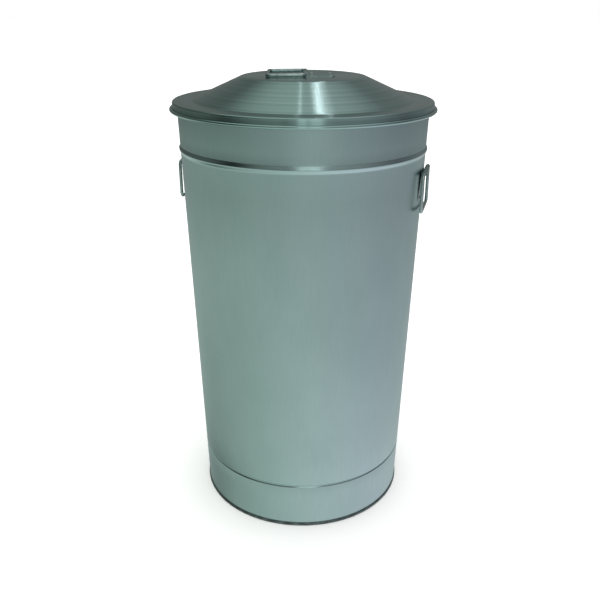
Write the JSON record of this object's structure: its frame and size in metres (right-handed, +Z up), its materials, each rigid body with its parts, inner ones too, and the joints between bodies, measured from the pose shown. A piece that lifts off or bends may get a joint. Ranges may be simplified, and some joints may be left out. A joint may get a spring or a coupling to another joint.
{
  "type": "waste can",
  "caption": "Tall tapered sheet-metal waste can with a loose conical lid, a rolled rim, and hinged drop-ring wire handles on its sides and lid.",
  "frame": {"origin": "centre of the foot, on the floor", "axes": "+Z up along the can's axis, the side handles lie on +X and -X, the side seam is at +Y"},
  "size_m": [0.4601, 0.4602, 0.8044],
  "materials": {
    "wall_sheet": "satin cold-rolled sheet",
    "lid_sheet": "spun, with fine circular lines",
    "foot_hoop": "dark, dull",
    "handle_wire": "drawn wire",
    "bracket_sheet": "pressed sheet",
    "rivets": "smooth set heads"
  },
  "bodies": {
    "can": {"body_wall": "wall_sheet", "body_rim_wire": "handle_wire", "body_bottom": "wall_sheet", "base_hoop": "foot_hoop", "left_handle_bracket": "bracket_sheet", "left_handle_rivets": "rivets", "left_handle_washers": "rivets", "right_handle_bracket": "bracket_sheet", "right_handle_rivets": "rivets", "right_handle_washers": "rivets"},
    "left_ring": {"left_handle_ring": "handle_wire"},
    "right_ring": {"right_handle_ring": "handle_wire"},
    "lid": {"lid_shell": "lid_sheet", "lid_rim_wire": "handle_wire", "lid_handle_bracket": "bracket_sheet", "lid_handle_rivets": "rivets", "lid_handle_washers": "rivets"},
    "lid_ring": {"lid_handle_ring": "handle_wire"}
  },
  "joints": [
    {"name": "lid_lift", "type": "slide", "parent": "can", "child": "lid", "axis": [0, 0, 1], "range_m": [0, 0.3]},
    {"name": "lid_ring_swing", "type": "hinge", "parent": "lid", "child": "lid_ring", "pos_m": [0.0029, 0.00075, 0.80038], "axis": [-0.2504, 0.9681, 0], "range_deg": [0, 181]},
    {"name": "left_ring_swing", "type": "hinge", "parent": "can", "child": "left_ring", "pos_m": [-0.21838, 0, 0.645], "axis": [0, 1, 0], "range_deg": [-2.5, 175]},
    {"name": "right_ring_swing", "type": "hinge", "parent": "can", "child": "right_ring", "pos_m": [0.21838, 0, 0.645], "axis": [0, -1, 0], "range_deg": [-2.5, 175]}
  ]
}
